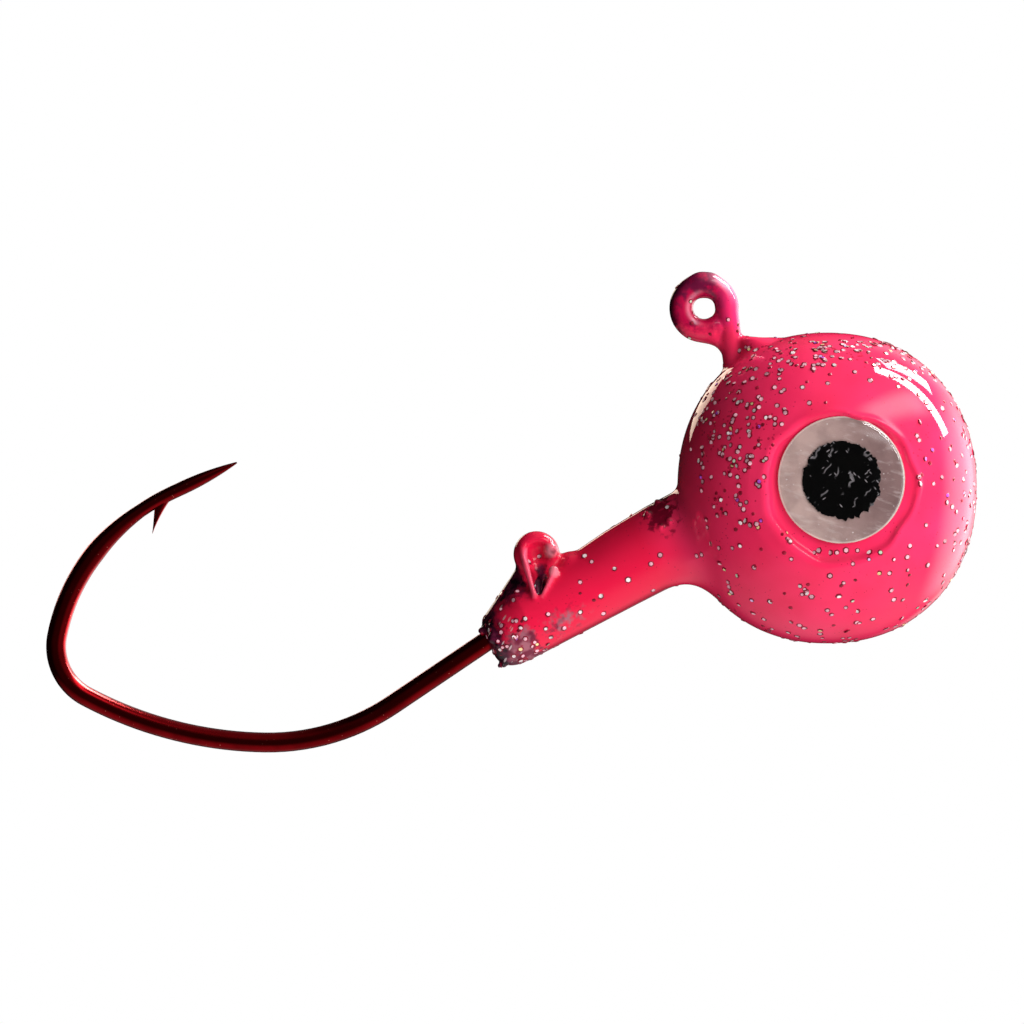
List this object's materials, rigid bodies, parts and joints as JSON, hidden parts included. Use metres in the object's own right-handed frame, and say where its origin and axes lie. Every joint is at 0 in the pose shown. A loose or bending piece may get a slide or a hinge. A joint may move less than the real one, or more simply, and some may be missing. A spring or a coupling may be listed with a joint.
{
  "type": "jig head",
  "caption": "Ball jig head: lead head cast round a bent barbed hook, with a line tie, a bait collar with a keeper, a glitter coat and domed eyes.",
  "frame": {"origin": "centre of the line-tie ring, in the plane of the hook", "axes": "+Z along the pull of the fishing line, +X towards the nose of the head and away from the hook's bend, +Y towards the left cheek; the hook lies in the XZ plane"},
  "size_m": [0.0465, 0.0138, 0.024],
  "materials": {
    "hook_wire": "translucent red plating over bright steel",
    "lead": "bare cast lead",
    "base_coat": "gloss hot pink powder paint",
    "top_coat": "clear gloss coat with silver glitter in it, over the pink",
    "adhesive": "white adhesive pad",
    "foil": "pearl foil",
    "ink": "black ink",
    "lens": "clear domed resin"
  },
  "bodies": {
    "root": {"hook": "hook_wire", "lead_casting": "lead", "pink_base_coat": "base_coat", "clear_top_coat": "top_coat", "right_eye_adhesive_pad": "adhesive", "right_eye_foil": "foil", "right_eye_pupil": "ink", "right_eye_lens": "lens", "left_eye_adhesive_pad": "adhesive", "left_eye_foil": "foil", "left_eye_pupil": "ink", "left_eye_lens": "lens"}
  },
  "joints": []
}
